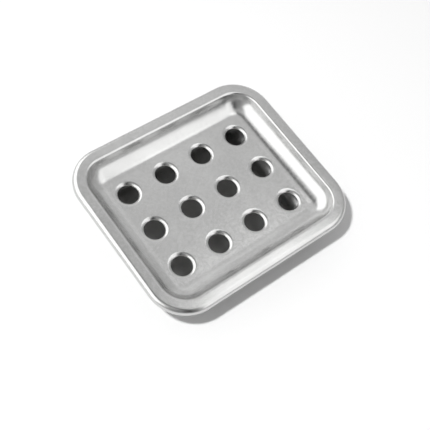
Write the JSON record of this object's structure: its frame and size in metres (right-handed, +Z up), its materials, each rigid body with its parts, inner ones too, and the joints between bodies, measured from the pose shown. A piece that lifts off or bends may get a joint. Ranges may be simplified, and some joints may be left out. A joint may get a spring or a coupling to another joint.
{
  "type": "draining soap dish",
  "caption": "Shallow rounded-rectangular steel dish: a perforated tray with rolled-down drain holes lies in a solid drip tray and lifts straight out.",
  "frame": {"origin": "middle of the flat underside of the drip tray, on the surface that the dish stands on", "axes": "+X along the length of the dish, +Y across it, +Z up out of the bowl"},
  "size_m": [0.114, 0.096, 0.022],
  "materials": {
    "drain_tray_steel": "bright satin stainless sheet with a fine mottled grain",
    "drip_tray_steel": "bright satin stainless sheet"
  },
  "bodies": {
    "drip_body": {"drip_tray": "drip_tray_steel"},
    "drain_body": {"drain_tray": "drain_tray_steel"}
  },
  "joints": [
    {"name": "tray_lift", "type": "slide", "parent": "drip_body", "child": "drain_body", "axis": [0, 0, 1], "range_m": [0, 0.04]}
  ]
}
